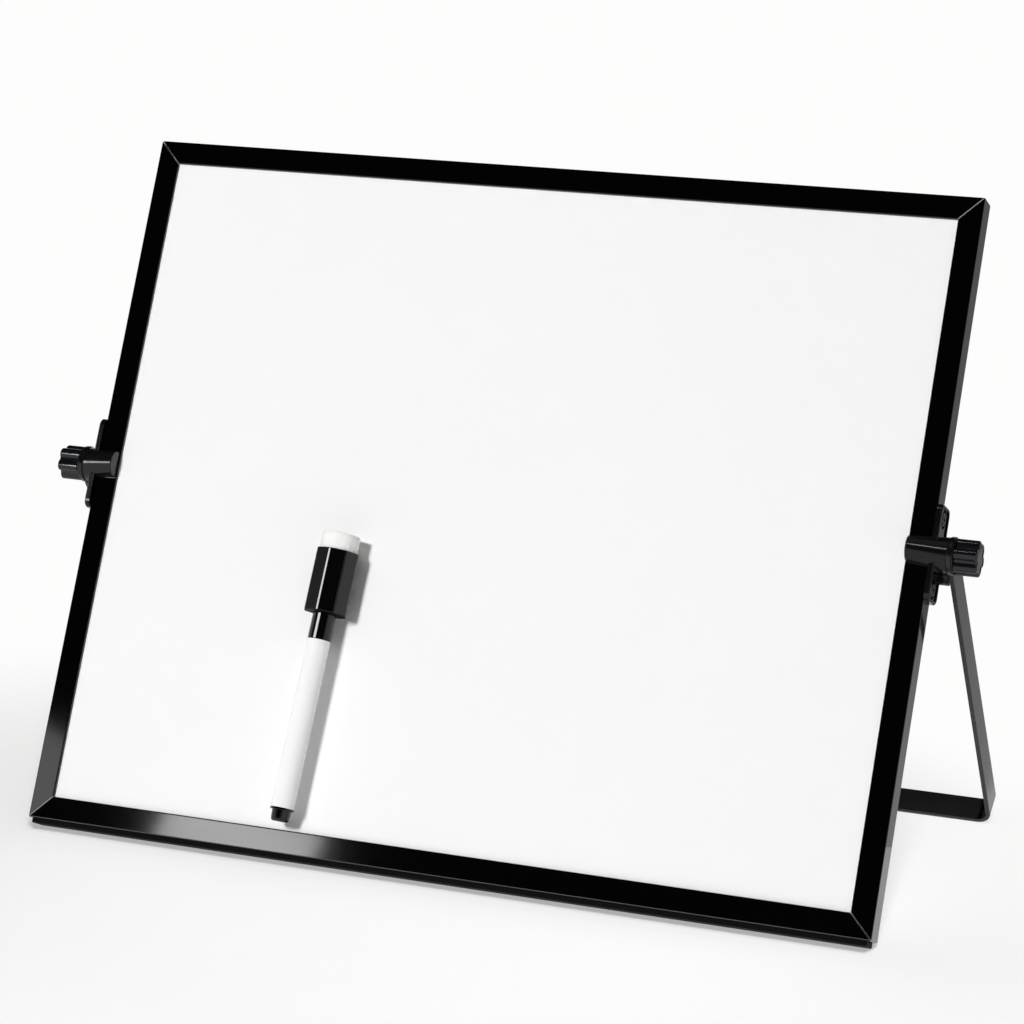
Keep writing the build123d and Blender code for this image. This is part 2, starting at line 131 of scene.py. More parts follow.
CAP_START = BARREL_END + JOINT_LINE
GRIP_START = CAP_START + NECK_LENGTH
CAP_END = GRIP_START + GRIP_LENGTH

# Marker axes: Z along the marker, Y into the board, from the free end of its plug
MARKER_START = middle("marker_barrel") - ALONG_MARKER * (BARREL_START + BARREL_LENGTH / 2)
MARKER = axes_at(MARKER_START, INTO_BOARD.cross(ALONG_MARKER), INTO_BOARD, ALONG_MARKER)

# Knob's own sizes
KNOB_RADIUS = 6.95 * MM
KNOB_CORE = 5.4 * MM
LOBE_RADIUS = 2.25 * MM
LOBES = 6
KNOB_END = 0.96               # share of the outline that the inner end starts at
KNOB_DISH_RIM = 1.2 * MM
KNOB_SECTIONS = (             # rise in mm to the next section, and its size against the last one
    (0.25, 1 / KNOB_END), (7.95, 1.0), (0.3, 0.985), (0.25, 0.96), (0.15, 0.93), (0.1, 0.86), (-0.25, 0.95))

# Rail's own sizes
MITRE_DEBURR = 0.16 * MM
RAIL_HALF_DEPTH = 4.9 * MM
RAIL_ROUND = 0.5 * MM

# Edges that are softened on copies of CAD nodes
BAR_EDGE = 0.3 * MM
STRIP_EDGE = 0.2 * MM
SHARP_EDGE = 40               # degrees between faces, from which an edge is softened
EDGE_STEPS = 2

# Fineness of the meshes
SIDES_OF_A_ROUND = 72
DOUBLES = 0.002 * MM

# ---------------------------------------------------------------- modelling helpers


def only(obj):
    """Make one object the selected and active one, in object mode."""
    if bpy.context.object and bpy.context.object.mode != "OBJECT":
        bpy.ops.object.mode_set(mode="OBJECT")
    bpy.ops.object.select_all(action="DESELECT")
    obj.select_set(True)
    bpy.context.view_layer.objects.active = obj


def edit(obj):
    only(obj)
    bpy.ops.object.mode_set(mode="EDIT")
    bpy.ops.mesh.select_all(action="SELECT")


def done():
    bpy.ops.object.mode_set(mode="OBJECT")


def started(name):
    """The primitive that was just added, named, with its place in its mesh."""
    obj = bpy.context.object
    obj.name = name
    obj.data.name = name
    only(obj)
    bpy.ops.object.transform_apply(location=True, rotation=True, scale=True)
    return obj


def pick(obj, kind, wanted):
    """In edit mode, select the vertices, edges or faces that the test asks for, and nothing else."""
    bpy.ops.mesh.select_mode(type=kind)
    bpy.ops.mesh.select_all(action="DESELECT")
    mesh = bmesh.from_edit_mesh(obj.data)
    mesh.normal_update()
    for item in {"VERT": mesh.verts, "EDGE": mesh.edges, "FACE": mesh.faces}[kind]:
        if wanted(item):
            item.select_set(True)
    bmesh.update_edit_mesh(obj.data)


def grow(dz, ratio, height):
    """Extrude the selection along Z, then widen or narrow the new end about the Z axis."""
    bpy.ops.mesh.extrude_region_move(TRANSFORM_OT_translate={"value": (0, 0, dz)})
    bpy.ops.transform.resize(value=(ratio, ratio, 1), center_override=(0, 0, height))


def close_up(obj):
    """Merge doubles and turn every face outwards."""
    edit(obj)
    bpy.ops.mesh.remove_doubles(threshold=DOUBLES)
    bpy.ops.mesh.normals_make_consistent(inside=False)
    done()


def turned(name, sections):
    """Round piece about Z, grown from one (radius, height) section to the next."""
    radius, height = sections[0]
    bpy.ops.mesh.primitive_circle_add(
        vertices=SIDES_OF_A_ROUND, radius=radius, fill_type="NGON", location=(0, 0, height))
    obj = started(name)
    edit(obj)
    for next_radius, next_height in sections[1:]:
        grow(next_height - height, next_radius / radius, next_height)
        radius, height = next_radius, next_height
    done()
    close_up(obj)
    return obj


def rounded(radius, height, corner, way, steps=4):
    """Sections round an outer corner: way 1 comes out to the radius, way -1 goes in from it."""
    angles = [i * pi / 2 / steps for i in range(steps + 1)]
    sections = [(radius - corner * (1 - sin(a)), height - way * corner * cos(a)) for a in angles]
    return sections if way == 1 else sections[::-1]


def bevelled(obj, width, segments, wanted):
    """Bevel the edges that the test asks for."""
    edit(obj)
    pick(obj, "EDGE", wanted)
    bpy.ops.mesh.bevel(offset=width, segments=segments, profile=0.5, affect="EDGES")
    done()


def combined(obj, tool, operation):
    """Join a tool to the piece or cut it away, then delete the tool."""
    modifier = obj.modifiers.new(operation, "BOOLEAN")
    modifier.operation = operation
    modifier.object = tool
    modifier.solver = "EXACT"
    only(obj)
    bpy.ops.object.modifier_apply(modifier=modifier.name)
    bpy.data.objects.remove(tool, do_unlink=True)


def smoothed(obj, angle=30):
    """Shade the rounds smooth and keep the flats between them flat."""
    only(obj)
    bpy.ops.object.shade_smooth_by_angle(angle=radians(angle))
    flats = obj.modifiers.new("flats", "WEIGHTED_NORMAL")
    flats.keep_sharp = True
    bpy.ops.object.modifier_apply(modifier=flats.name)


def copy_of(node, name):
    """Merged copy of a CAD node, its flat faces made whole, to be refined."""
    source = frame["nodes"][node]
    obj = bpy.data.objects.new(name, source.data.copy())
    bpy.context.scene.collection.objects.link(obj)
    obj.data.name = name
    obj.data.materials.clear()
    only(obj)
    bpy.ops.mesh.customdata_custom_splitnormals_clear()
    edit(obj)
    bpy.ops.mesh.remove_doubles(threshold=DOUBLES)
    bpy.ops.mesh.dissolve_limited(angle_limit=radians(0.5))
    done()
    return obj


def softened(node, name, width):
    """Copy of a CAD node with its sharp edges rounded."""
    obj = copy_of(node, name)
    modifier = obj.modifiers.new("edges", "BEVEL")
    modifier.width = width
    modifier.segments = EDGE_STEPS
    modifier.limit_method = "ANGLE"
    modifier.angle_limit = radians(SHARP_EDGE)
    modifier.use_clamp_overlap = False
    only(obj)
    bpy.ops.object.modifier_apply(modifier=modifier.name)
    smoothed(obj)
    return obj


def placed(obj, matrix, node, finishes):
    """Carry the piece to its place, let it stand in for its node and ride on the node's body."""
    obj.data.transform(matrix)
    if matrix.determinant() < 0:
        close_up(obj)
    for finish in finishes:
        obj.data.materials.append(finish)
    body = frame["nodes"][node]["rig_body"]
    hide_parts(node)
    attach(obj, body)
    return obj


# ---------------------------------------------------------------- surface effects


def new_group(name, inputs, outputs):
    """Empty shader group. inputs: (name, socket type, value); outputs: (name, socket type)."""
    group = bpy.data.node_groups.new(name, "ShaderNodeTree")
    for label, kind, value in inputs:
        socket = group.interface.new_socket(label, in_out="INPUT", socket_type="NodeSocket" + kind)
        socket.default_value = value
    for label, kind in outputs:
        group.interface.new_socket(label, in_out="OUTPUT", socket_type="NodeSocket" + kind)
    return group, group.nodes.new("NodeGroupInput"), group.nodes.new("NodeGroupOutput")


def math_node(tree, operation, first, second):
    """Maths node on two sockets or numbers."""
    node = tree.nodes.new("ShaderNodeMath")
    node.operation = operation
    for socket, value in zip(node.inputs, (first, second)):
        if isinstance(value, (int, float)):
            socket.default_value = value
        else:
            tree.links.new(value, socket)
    return node.outputs[0]


def noise(tree, coordinates, scale, detail):
    """Noise on a socket of coordinates, at a socket's scale. Its value."""
    node = tree.nodes.new("ShaderNodeTexNoise")
    node.inputs["Detail"].default_value = detail
    tree.links.new(coordinates, node.inputs["Vector"])
    tree.links.new(scale, node.inputs["Scale"])
    return node.outputs["Fac"]


def swung(tree, roughness, signal, amount):
    """Roughness that follows a signal between 0 and 1 up and down by an amount."""
    swing = math_node(tree, "MULTIPLY", math_node(tree, "SUBTRACT", signal, 0.5), amount)
    return math_node(tree, "ADD", roughness, swing)


def stretched(tree, coordinates):
    """Vector maths node that multiplies the coordinates by its second input."""
    stretch = tree.nodes.new("ShaderNodeVectorMath")
    stretch.operation = "MULTIPLY"
    tree.links.new(coordinates, stretch.inputs[0])
    return stretch


def give(tree, end, tone, roughness, height):
    """Send an effect's results to its group's outputs."""
    for label, value in (("Tone", tone), ("Roughness", roughness), ("Height", height)):
        tree.links.new(value, end.inputs[label])


EFFECT_OUTPUTS = [("Tone", "Float"), ("Roughness", "Float"), ("Height", "Float")]


def make_moulding_group():
    """Clouded gloss, faint tone and fine grain of a moulded, coated or painted skin."""
    inputs = [
        ("Roughness", "Float", 0.3),
        ("Gloss Change", "Float", 0.1),
        ("Cloud Scale", "Float", 60.0),
        ("Grain Scale", "Float", 2500.0),
    ]
    group, start, end = new_group("moulded skin", inputs, EFFECT_OUTPUTS)
    place = group.nodes.new("ShaderNodeTexCoord").outputs["Object"]
    cloud = noise(group, place, start.outputs["Cloud Scale"], 3.0)
    grain = noise(group, place, start.outputs["Grain Scale"], 2.0)
    roughness = swung(group, start.outputs["Roughness"], cloud, start.outputs["Gloss Change"])
    give(group, end, cloud, roughness, grain)
    return group


def make_brushing_group():
    """Fine parallel lines of drawn, turned or plated metal. Stretch sets the way they run."""
    inputs = [
        ("Roughness", "Float", 0.3),
        ("Line Strength", "Float", 0.15),
        ("Line Scale", "Float", 900.0),
        ("Stretch", "Vector", (1.0, 1.0, 0.05)),
    ]
    group, start, end = new_group("brushed lines", inputs, EFFECT_OUTPUTS)
    place = group.nodes.new("ShaderNodeTexCoord").outputs["Object"]
    stretch = stretched(group, place)
    group.links.new(start.outputs["Stretch"], stretch.inputs[1])
    lines = noise(group, stretch.outputs[0], start.outputs["Line Scale"], 4.0)
    roughness = swung(group, start.outputs["Roughness"], lines, start.outputs["Line Strength"])
    give(group, end, lines, roughness, lines)
    return group


def make_fibre_group():
    """Short crossed fibres of felt, inked fibre and pressed board."""
    inputs = [("Fibre Scale", "Float", 1800.0), ("Clump Scale", "Float", 350.0), ("Roughness", "Float", 0.9)]
    group, start, end = new_group("felted fibres", inputs, EFFECT_OUTPUTS)
    place = group.nodes.new("ShaderNodeTexCoord").outputs["Object"]
    stretch = stretched(group, place)
    stretch.inputs[1].default_value = (1.0, 0.35, 0.6)
    fibres = noise(group, stretch.outputs[0], start.outputs["Fibre Scale"], 6.0)
    clumps = noise(group, place, start.outputs["Clump Scale"], 2.0)
    both = math_node(group, "MULTIPLY", math_node(group, "ADD", fibres, clumps), 0.5)
    give(group, end, both, swung(group, start.outputs["Roughness"], both, 0.2), both)
    return group


MOULDED = make_moulding_group()
BRUSHED = make_brushing_group()
FELTED = make_fibre_group()


def finish(name, dark, light, effect, settings, bump, shader):
    """Material: a tone between two colours, roughness and bump from an effect, plain shader values."""
    material = bpy.data.materials.new(name)
    material.use_nodes = True
    tree = material.node_tree
    principled = tree.nodes["Principled BSDF"]
    surface = tree.nodes.new("ShaderNodeGroup")
    surface.node_tree = effect
    for socket, value in settings.items():
        surface.inputs[socket].default_value = value
    colour = tree.nodes.new("ShaderNodeMix")
    colour.data_type = "RGBA"
    colour.inputs["A"].default_value = (*dark, 1)
    colour.inputs["B"].default_value = (*light, 1)
    strength, depth = bump
    bumps = tree.nodes.new("ShaderNodeBump")
    bumps.inputs["Strength"].default_value = strength
    bumps.inputs["Distance"].default_value = depth
    tree.links.new(surface.outputs["Tone"], colour.inputs["Factor"])
    tree.links.new(colour.outputs["Result"], principled.inputs["Base Color"])
    tree.links.new(surface.outputs["Roughness"], principled.inputs["Roughness"])
    tree.links.new(surface.outputs["Height"], bumps.inputs["Height"])
    tree.links.new(bumps.outputs["Normal"], principled.inputs["Normal"])
    for socket, value in shader.items():
        principled.inputs[socket].default_value = value
    return material


def grey(value):
    return (value, value, value)


def skin(roughness, change, cloud, grain):
    return {"Roughness": roughness, "Gloss Change": change, "Cloud Scale": cloud, "Grain Scale": grain}


def lines(roughness, strength, scale, stretch):
    return {"Roughness": roughness, "Line Strength": strength, "Line Scale": scale, "Stretch": stretch}


def fibres(roughness, fibre, clump):
    return {"Roughness": roughness, "Fibre Scale": fibre, "Clump Scale": clump}


METAL = {"Metallic": 1.0}

# Slot: name, dark and light tone, effect, its settings, strength and depth of the bump, shader values
FINISHES = {
    "frame_black": finish("satin black anodised rail", grey(0.0004), grey(0.0008), MOULDED,
                          skin(0.058, 0.015, 40, 3500), (0.02, 0.01 * MM), {}),
    "key_plastic": finish("dull key moulding", grey(0.02), grey(0.03), MOULDED,
                          skin(0.55, 0.1, 90, 2500), (0.2, 0.02 * MM), {}),
    "sheet_white": finish("dry erase coating", (0.935, 0.94, 0.935), (0.95, 0.955, 0.95), MOULDED,
                          skin(0.32, 0.05, 18, 900), (0.03, 0.01 * MM), {"Specular IOR Level": 0.4}),
    "core_board": finish("pressed fibreboard", (0.30, 0.19, 0.10), (0.48, 0.34, 0.20), FELTED,
                         fibres(0.85, 900, 160), (0.4, 0.1 * MM), {}),
    "strip_rubber": finish("black rubber strip", grey(0.003), grey(0.006), MOULDED,
                           skin(0.7, 0.15, 120, 1800), (0.3, 0.04 * MM), {"Specular IOR Level": 0.1}),
    "bracket_black": finish("satin black moulding", grey(0.0025), grey(0.0045), MOULDED,
                            skin(0.15, 0.05, 150, 2800), (0.06, 0.02 * MM), {"Specular IOR Level": 0.28}),
    "screw_steel": finish("black zinc screw", grey(0.03), grey(0.07), BRUSHED,
                          lines(0.32, 0.2, 2200, (0.2, 1, 1)), (0.15, 0.02 * MM), METAL),
    "insert_brass": finish("turned brass", (0.55, 0.38, 0.14), (0.78, 0.58, 0.28), BRUSHED,
                           lines(0.28, 0.15, 2500, (1, 0.1, 0.1)), (0.1, 0.02 * MM), METAL),
    "knob_black": finish("glossy black knob", (0.0025, 0.0028, 0.004), (0.0045, 0.005, 0.007), MOULDED,
                         skin(0.10, 0.04, 200, 3000), (0.04, 0.02 * MM), {"Specular IOR Level": 0.4}),
    "stud_steel": finish("zinc plated stud", grey(0.45), grey(0.68), BRUSHED,
                         lines(0.3, 0.15, 2500, (1, 0.1, 0.1)), (0.1, 0.02 * MM), METAL),
    "stand_black": finish("black powder coat", grey(0.0035), grey(0.0060), MOULDED,
                          skin(0.20, 0.06, 110, 1500), (0.08, 0.03 * MM), {"Specular IOR Level": 0.4}),
    "washer_nylon": finish("black nylon washer", grey(0.005), grey(0.009), MOULDED,
                           skin(0.45, 0.1, 200, 2500), (0.1, 0.02 * MM), {"Specular IOR Level": 0.3}),
    "marker_white": finish("white barrel", (0.94, 0.935, 0.945), (0.96, 0.955, 0.965), MOULDED,
                           skin(0.25, 0.06, 70, 3000), (0.04, 0.01 * MM), {}),
    "marker_black": finish("glossy black cap", grey(0.0010), grey(0.0018), MOULDED,
                           skin(0.06, 0.02, 160, 3000), (0.02, 0.01 * MM), {"Specular IOR Level": 0.4}),
    "holder_white": finish("white nib holder", grey(0.78), grey(0.84), MOULDED,
                           skin(0.4, 0.1, 150, 2500), (0.08, 0.02 * MM), {}),
    "nib_felt": finish("inked nib", grey(0.006), grey(0.014), FELTED,
                       fibres(0.8, 3500, 900), (0.5, 0.05 * MM), {}),
    "reservoir_fibre": finish("inked fibre rod", (0.01, 0.01, 0.014), (0.03, 0.03, 0.04), FELTED,
                              fibres(0.9, 2500, 600), (0.5, 0.08 * MM), {}),
    "magnet_nickel": finish("nickel plated magnet", grey(0.50), (0.68, 0.66, 0.62), BRUSHED,
                            lines(0.22, 0.1, 1800, (1, 1, 0.2)), (0.05, 0.01 * MM), METAL),
    "eraser_felt": finish("pressed white felt", (0.95, 0.945, 0.925), (0.99, 0.985, 0.97), FELTED,
                          fibres(0.95, 2200, 420), (0.8, 0.25 * MM), {"Sheen Weight": 0.3}),
}
BARE_EDGE = finish("bare sawn aluminium", grey(0.42), grey(0.72), BRUSHED,
                   lines(0.45, 0.25, 2600, (1, 0.3, 1)), (0.1, 0.02 * MM), METAL)
# Painted shade: a darker, nearly unreflecting copy of the cap's black, for the shoulder faces that face down
# the marker
PAINTED_SHADE_SHOULDER = finish("cap shoulder painted shade", grey(0.0008), grey(0.0014), MOULDED,
                       skin(0.6, 0.1, 200, 3000), (0.1, 0.02 * MM), {"Specular IOR Level": 0.08})

for part in frame["record"]["subparts"]:
    materials = frame["nodes"][part["node"]].data.materials
    materials.clear()
    materials.append(FINISHES[part["material_slot"]])

# ---------------------------------------------------------------- frame rails


def mitred_edge(edge):
    """An edge of a sawn end that shows on the front, the back or the outside of a rail."""
    sawn = [abs(abs(face.normal.x) - abs(face.normal.z)) < 0.05 and abs(face.normal.y) < 0.05
            for face in edge.link_faces]
    outside = all(abs(vertex.co.y) > RAIL_HALF_DEPTH - RAIL_ROUND - JOINT_LINE for vertex in edge.verts)
    return outside and sum(sawn) == 1


def rail(where):
    """Rail with the thin bright line of bare metal along its sawn ends."""
    node = f"frame_{where}_rail"
    obj = copy_of(node, f"{where}_rail_sawn")
    obj.data.transform(BOARD.inverted())
    obj.data.materials.append(FINISHES["frame_black"])
    obj.data.materials.append(BARE_EDGE)
    edit(obj)
    pick(obj, "EDGE", mitred_edge)
    bpy.ops.mesh.bevel(offset=MITRE_DEBURR, segments=1, affect="EDGES", clamp_overlap=False)
    obj.active_material_index = 1
    bpy.ops.object.material_slot_assign()
    done()
    smoothed(obj)
    placed(obj, BOARD, node, [])


for where in ("top", "bottom", "left", "right"):
    rail(where)

# ---------------------------------------------------------------- stand and strip

for node, name, edge in (("u_stand_bar", "bent_stand_bar", BAR_EDGE),
                         ("anti_slip_strip", "rubber_strip", STRIP_EDGE)):
    placed(softened(node, name, edge), Matrix(), node, [FINISHES[SLOTS[node]]])

# ---------------------------------------------------------------- knobs

KNOB_COLUMNS = 72
COLUMN = 2 * pi / KNOB_COLUMNS
COLUMNS_PER_LOBE = KNOB_COLUMNS // LOBES
LOBE_ANGLE = 2 * pi / LOBES


def flute_radius(angle):
    """Distance from the axis to the knob's outline, at an angle from a lobe's crest."""
    centre = KNOB_RADIUS - LOBE_RADIUS
    inside = LOBE_RADIUS**2 - (centre * sin(angle)) ** 2
    if inside <= 0:
        return KNOB_CORE
    return max(centre * cos(angle) + sqrt(inside), KNOB_CORE)


def knob():
    """Fluted knob along Z, its flat inner end at 0, with rounded ends and a shallow dish outside."""
    bpy.ops.mesh.primitive_circle_add(vertices=KNOB_COLUMNS, radius=KNOB_RADIUS, fill_type="NGON")
    obj = started("knob")
    edit(obj)
    for step in range(COLUMNS_PER_LOBE // 2 + 1):
        angle = step * COLUMN
        ratio = flute_radius(angle) / KNOB_RADIUS

        def in_column(vertex):
            around = Vector((1, 0)).angle_signed(vertex.co.xy) % LOBE_ANGLE
            return min(abs(around - angle), abs(LOBE_ANGLE - around - angle)) < COLUMN / 4

        pick(obj, "VERT", in_column)
        bpy.ops.transform.resize(value=(ratio, ratio, 1), center_override=(0, 0, 0))
    pick(obj, "FACE", lambda face: True)
    bpy.ops.transform.resize(value=(KNOB_END, KNOB_END, 1), center_override=(0, 0, 0))
    height = 0
    for rise, ratio in KNOB_SECTIONS:
        height += rise * MM
        grow(rise * MM, ratio, height)
    bpy.ops.mesh.inset(thickness=KNOB_DISH_RIM, depth=0)
    done()
    close_up(obj)
    smoothed(obj, 35)
    return obj


for side, sign, crest in (("left", -1, Vector((0, -1, 0))), ("right", 1, Vector((0, 0, 1)))):
    low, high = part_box(f"{side}_knob")
    inner_end = low.x if sign > 0 else high.x
    outwards = ACROSS * sign
    turn = axes_at(Vector((inner_end, PIVOT.y, PIVOT.z)), crest, outwards.cross(crest), outwards)
    piece = knob()
    piece.name = f"{side}_fluted_knob"
    placed(piece, turn, f"{side}_knob", [FINISHES["knob_black"]])

# ---------------------------------------------------------------- marker


def prism(name, flats, start, length, corner, rim, corner_steps):
    """Eight-sided block about Z with eased corners and rims, one corner towards the board."""
    radius = flats / 2 / cos(pi / 8)
    centre = (0, 0, start + length / 2)
    bpy.ops.mesh.primitive_cylinder_add(vertices=8, radius=radius, depth=length, location=centre)
    obj = started(name)

    def rise(edge):
        return abs(edge.verts[0].co.z - edge.verts[1].co.z)

    bevelled(obj, corner, corner_steps, lambda edge: rise(edge) > length / 2)
    bevelled(obj, rim, 3, lambda edge: rise(edge) < JOINT_LINE)
    return obj


def marker_cap():
    """Round neck under an eight-sided grip, with a bore, a magnet's pocket, and painted shade underneath: a
    darker, nearly unreflecting copy of its black on the faces that face down the marker.
    """
    cap = prism("cap_shell", GRIP_FLATS, GRIP_START, GRIP_LENGTH, CAP_CORNER, CAP_RIM, 1)
    neck = rounded(NECK_RADIUS, CAP_START + CAP_NECK_EASE, CAP_NECK_EASE, 1, 2)
    neck += [(NECK_RADIUS, GRIP_START + CAP_OVERLAP)]
    combined(cap, turned("neck", neck), "UNION")
    bore = [(CAP_BORE, CAP_START - CAP_OVERLAP), (CAP_BORE, CAP_START + CAP_BORE_DEPTH)]
    combined(cap, turned("bore", bore), "DIFFERENCE")
    pocket = [(MAGNET_RADIUS, CAP_END - MAGNET_THICKNESS), (MAGNET_RADIUS, CAP_END + CAP_OVERLAP)]
    combined(cap, turned("pocket", pocket), "DIFFERENCE")
    cap.data.materials.append(FINISHES["marker_black"])
    cap.data.materials.append(PAINTED_SHADE_SHOULDER)
    edit(cap)
    # Faces that face down the marker take the painted-shade copy, so they stay black
    pick(cap, "FACE", lambda face: face.normal.z < -0.5)
    cap.active_material_index = 1
    bpy.ops.object.material_slot_assign()
    done()
    smoothed(cap, 15)
    return cap


def marker_barrel():
    """Thin tube with eased ends."""
    sections = rounded(BARREL_RADIUS, BARREL_START + BARREL_EASE, BARREL_EASE, 1, 2)
    sections += rounded(BARREL_RADIUS, BARREL_END - BARREL_EASE, BARREL_EASE, -1, 2)
    tube = turned("barrel_tube", sections)
    edit(tube)
    pick(tube, "FACE", lambda face: abs(face.normal.z) > 0.9)
    bpy.ops.mesh.inset(thickness=BARREL_WALL - BARREL_EASE)
    bpy.ops.mesh.bridge_edge_loops()
    done()
    close_up(tube)
    smoothed(tube)
    return tube


def end_plug():
    """Tapered, round-ended plug with a thin flange against the barrel."""
    inside_barrel = BARREL_RADIUS - BARREL_WALL - JOINT_LINE
    plug = turned("end_plug", [
        (0.4 * PLUG_RADIUS, 0),
        *rounded(0.93 * PLUG_RADIUS, PLUG_ROUND, PLUG_ROUND, 1),
        (PLUG_RADIUS, PLUG_LENGTH),
        (FLANGE_RADIUS - FLANGE_EDGE, PLUG_LENGTH),
        (FLANGE_RADIUS, PLUG_LENGTH + FLANGE_EDGE),
        (FLANGE_RADIUS, BARREL_START - FLANGE_BACK_EDGE),
        (FLANGE_RADIUS - FLANGE_BACK_EDGE, BARREL_START),
        (inside_barrel, BARREL_START),
        (inside_barrel, BARREL_START + PLUG_INSERT),
    ])
    smoothed(plug)
    return plug


def eraser():
    """Felt block with a slightly uneven nap."""
    block = prism("eraser_block", ERASER_FLATS, CAP_END, ERASER_HEIGHT, ERASER_CORNER, ERASER_RIM, 5)
    edit(block)
    bpy.ops.mesh.quads_convert_to_tris()
    bpy.ops.mesh.subdivide(number_cuts=4)
    pick(block, "VERT", lambda vertex: vertex.co.z > CAP_END + ERASER_STILL)
    bpy.ops.transform.vertex_random(offset=ERASER_NAP, normal=1.0, seed=4)
    done()
    smoothed(block, 80)
    return block


placed(marker_barrel(), MARKER, "marker_barrel", [FINISHES["marker_white"]])
placed(end_plug(), MARKER, "marker_end_plug", [FINISHES["marker_black"]])
placed(marker_cap(), MARKER, "marker_cap", [])
placed(eraser(), MARKER, "felt_eraser", [FINISHES["eraser_felt"]])

# ---------------------------------------------------------------- floor, light and camera

FLOOR_HALF = 8.0
FLOOR_PAINT = (0.93, 0.93, 0.925, 1)      # what the lamps light near the object
FLOOR_WHITE = (0.98, 0.98, 0.975, 1)      # the plain white that it fades to further out
FADE_MIDDLE = (0, 0.18, 0)
FADE_STRETCH = (1, 2, 1)
FADE = {"From Min": 0.18, "From Max": 0.55, "To Min": 0.42, "To Max": 1.0}
CARD_SIZE = 3.2
CARD_LIGHT = (0.05, (0.55, 0.55, 0.55, 1))
CARD_DARK = (0.6, (0.27, 0.27, 0.27, 1))
SWEEP = (0.20, FLOOR_WHITE)
CEILING = (0.36, (0.008, 0.008, 0.009, 1))
SWEEP_LIGHT = 0.05                        # strength of the sweep as a source of light
bpy.ops.mesh.primitive_plane_add(size=2 * FLOOR_HALF, location=(0, 0, 0))
floor = started("floor")


def seen_share(tree, share):
    """Share on rays from the camera, through glass and off gloss, nothing on the others."""
    path = tree.nodes.new("ShaderNodeLightPath")
    seen = math_node(tree, "MAXIMUM", path.outputs["Is Camera Ray"], path.outputs["Is Glossy Ray"])
    seen = math_node(tree, "MAXIMUM", seen, path.outputs["Is Transmission Ray"])
    return math_node(tree, "MULTIPLY", seen, share)


def axis_ramp(tree, coordinates, axis, low, high):
    """Colour ramp between two (position, colour) stops along one axis of the coordinates."""
    split = tree.nodes.new("ShaderNodeSeparateXYZ")
    ramp = tree.nodes.new("ShaderNodeValToRGB")
    for element, (position, colour) in zip(ramp.color_ramp.elements, (low, high)):
        element.position = position
        element.color = colour
    tree.links.new(coordinates, split.inputs[0])
    tree.links.new(split.outputs[axis], ramp.inputs["Fac"])
    return ramp.outputs["Color"]


def floor_finish():
    """Matt white floor that keeps the shadows near the object and is plain white further out."""
    material = bpy.data.materials.new("white floor")
    material.use_nodes = True
    tree = material.node_tree
    principled = tree.nodes["Principled BSDF"]
    principled.inputs["Base Color"].default_value = FLOOR_PAINT
    principled.inputs["Roughness"].default_value = 1.0
    principled.inputs["Specular IOR Level"].default_value = 0.0
    white = tree.nodes.new("ShaderNodeEmission")
    white.inputs["Color"].default_value = FLOOR_WHITE
    place = tree.nodes.new("ShaderNodeTexCoord")
    middled = tree.nodes.new("ShaderNodeMapping")
    middled.inputs["Location"].default_value = FADE_MIDDLE
    middled.inputs["Scale"].default_value = FADE_STRETCH
    distance = tree.nodes.new("ShaderNodeVectorMath")
    distance.operation = "LENGTH"
    tree.links.new(place.outputs["Object"], middled.inputs["Vector"])
    tree.links.new(middled.outputs["Vector"], distance.inputs[0])
    fade = tree.nodes.new("ShaderNodeMapRange")
    fade.interpolation_type = "SMOOTHSTEP"
    for socket, value in FADE.items():
        fade.inputs[socket].default_value = value
    tree.links.new(distance.outputs["Value"], fade.inputs["Value"])
    mix = tree.nodes.new("ShaderNodeMixShader")
    tree.links.new(seen_share(tree, fade.outputs["Result"]), mix.inputs[0])
    tree.links.new(principled.outputs[0], mix.inputs[1])
    tree.links.new(white.outputs[0], mix.inputs[2])
    tree.links.new(mix.outputs[0], tree.nodes["Material Output"].inputs["Surface"])
    return material


floor.data.materials.append(floor_finish())


def grey_card():
    """Grey card on the floor behind and to the right, which only shows in the gloss of the side faces."""
    bpy.ops.mesh.primitive_plane_add(size=1, location=(0.5, 0.5, 0.5 * MM))
    card = started("grey_card")
    edit(card)
    bpy.ops.transform.resize(value=(CARD_SIZE, CARD_SIZE, 1), center_override=(0, 0, 0))
    bpy.ops.transform.translate(value=(0.19, 0.03, 0))
    done()
    material = bpy.data.materials.new("grey card")
    material.use_nodes = True
    tree = material.node_tree
    glow = tree.nodes.new("ShaderNodeEmission")
    place = tree.nodes.new("ShaderNodeTexCoord")
    colour = axis_ramp(tree, place.outputs["Object"], "Y", CARD_LIGHT, CARD_DARK)
    tree.links.new(colour, glow.inputs["Color"])
    tree.links.new(glow.outputs[0], tree.nodes["Material Output"].inputs["Surface"])
    card.data.materials.append(material)
    card.visible_camera = False
    card.visible_diffuse = False
    card.visible_shadow = False
    card.visible_transmission = False


grey_card()


def world_light():
    """White sweep near the horizon, seen but casting little light, and a dark ceiling above it."""
    world = bpy.data.worlds.new("studio")
    world.use_nodes = True
    tree = world.node_tree
    background = tree.nodes["Background"]
    place = tree.nodes.new("ShaderNodeTexCoord")
    colour = axis_ramp(tree, place.outputs["Generated"], "Z", SWEEP, CEILING)
    tree.links.new(colour, background.inputs["Color"])
    strength = math_node(tree, "MAXIMUM", seen_share(tree, 1.0), SWEEP_LIGHT)
    tree.links.new(strength, background.inputs["Strength"])
    bpy.context.scene.world = world


world_light()


